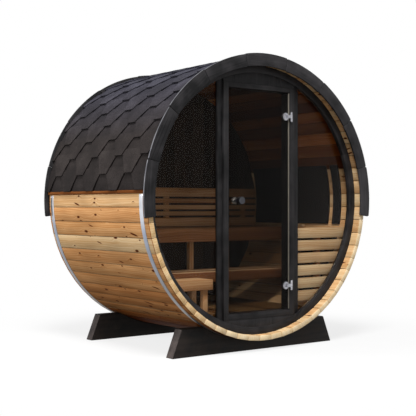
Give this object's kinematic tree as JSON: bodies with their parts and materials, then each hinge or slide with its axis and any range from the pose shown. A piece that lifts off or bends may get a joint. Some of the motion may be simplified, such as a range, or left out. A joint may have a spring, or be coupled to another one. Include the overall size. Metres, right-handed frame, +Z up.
{
  "type": "barrel sauna",
  "caption": "Small outdoor barrel sauna of wooden staves with a glass front, hinged glass door, shingled upper half, steel bands and two cradles.",
  "frame": {"origin": "centre of the footprint, on the ground under the cradles", "axes": "+Z up; the glass front with the door faces -Y; +X is to the right of someone facing the front"},
  "size_m": [2.074, 1.4086, 2.1128],
  "materials": {
    "stave_wood": "clear oiled softwood",
    "wall_wood": "clear oiled softwood",
    "batten_wood": "reddish stained softwood",
    "bench_wood": "bare planed softwood",
    "floor_wood": "bare planed softwood",
    "shingles": "mineral-faced bitumen shingle",
    "fascia_paint": "dark stained wood",
    "cradle_paint": "dark stained wood",
    "frame_paint": "satin dark paint on wood",
    "dark_panel": "matt dark paint on wood",
    "band_steel": "polished stainless",
    "bright_steel": "polished",
    "tinted_glass": "dark tinted, glossy"
  },
  "bodies": {
    "sauna": {"staves_top": "stave_wood", "staves_upper": "stave_wood", "staves_shoulder": "stave_wood", "staves_side": "stave_wood", "staves_haunch": "stave_wood", "staves_lower": "stave_wood", "staves_bottom": "stave_wood", "roof_ridge": "shingles", "roof_upper": "shingles", "roof_lower": "shingles", "eave_battens": "batten_wood", "fascia_front": "fascia_paint", "fascia_rear": "fascia_paint", "steel_band_front": "band_steel", "steel_band_rear": "band_steel", "cradle_front": "cradle_paint", "cradle_rear": "cradle_paint", "ring_crown": "frame_paint", "ring_sides": "frame_paint", "ring_base": "frame_paint", "front_posts": "frame_paint", "header_panel": "frame_paint", "threshold_panel": "frame_paint", "door_jambs": "frame_paint", "door_head": "frame_paint", "door_sill": "frame_paint", "side_panes": "tinted_glass", "door_hinge_plates": "bright_steel", "rear_wall": "wall_wood", "floor_boards": "floor_wood", "floor_bearers": "floor_wood", "upper_bench_seat": "bench_wood", "upper_bench_apron": "bench_wood", "upper_bench_post": "bench_wood", "bench_ledgers": "bench_wood", "lower_bench_seat": "bench_wood", "lower_bench_apron": "bench_wood", "step_seat": "bench_wood", "step_apron": "bench_wood", "step_legs": "bench_wood", "backrest_slats": "bench_wood", "backrest_cleats": "bench_wood", "guard_slats": "bench_wood", "guard_posts": "bench_wood", "heat_panel": "dark_panel", "heat_panel_rail": "bench_wood"},
    "door": {"door_glass": "tinted_glass", "door_knobs": "bright_steel", "door_hinge_clamps": "bright_steel"}
  },
  "joints": [
    {"name": "door_hinge", "type": "hinge", "parent": "sauna", "child": "door", "pos_m": [0.288, -0.637, 1.068], "axis": [0, 0, 1], "range_deg": [0, 100]}
  ]
}
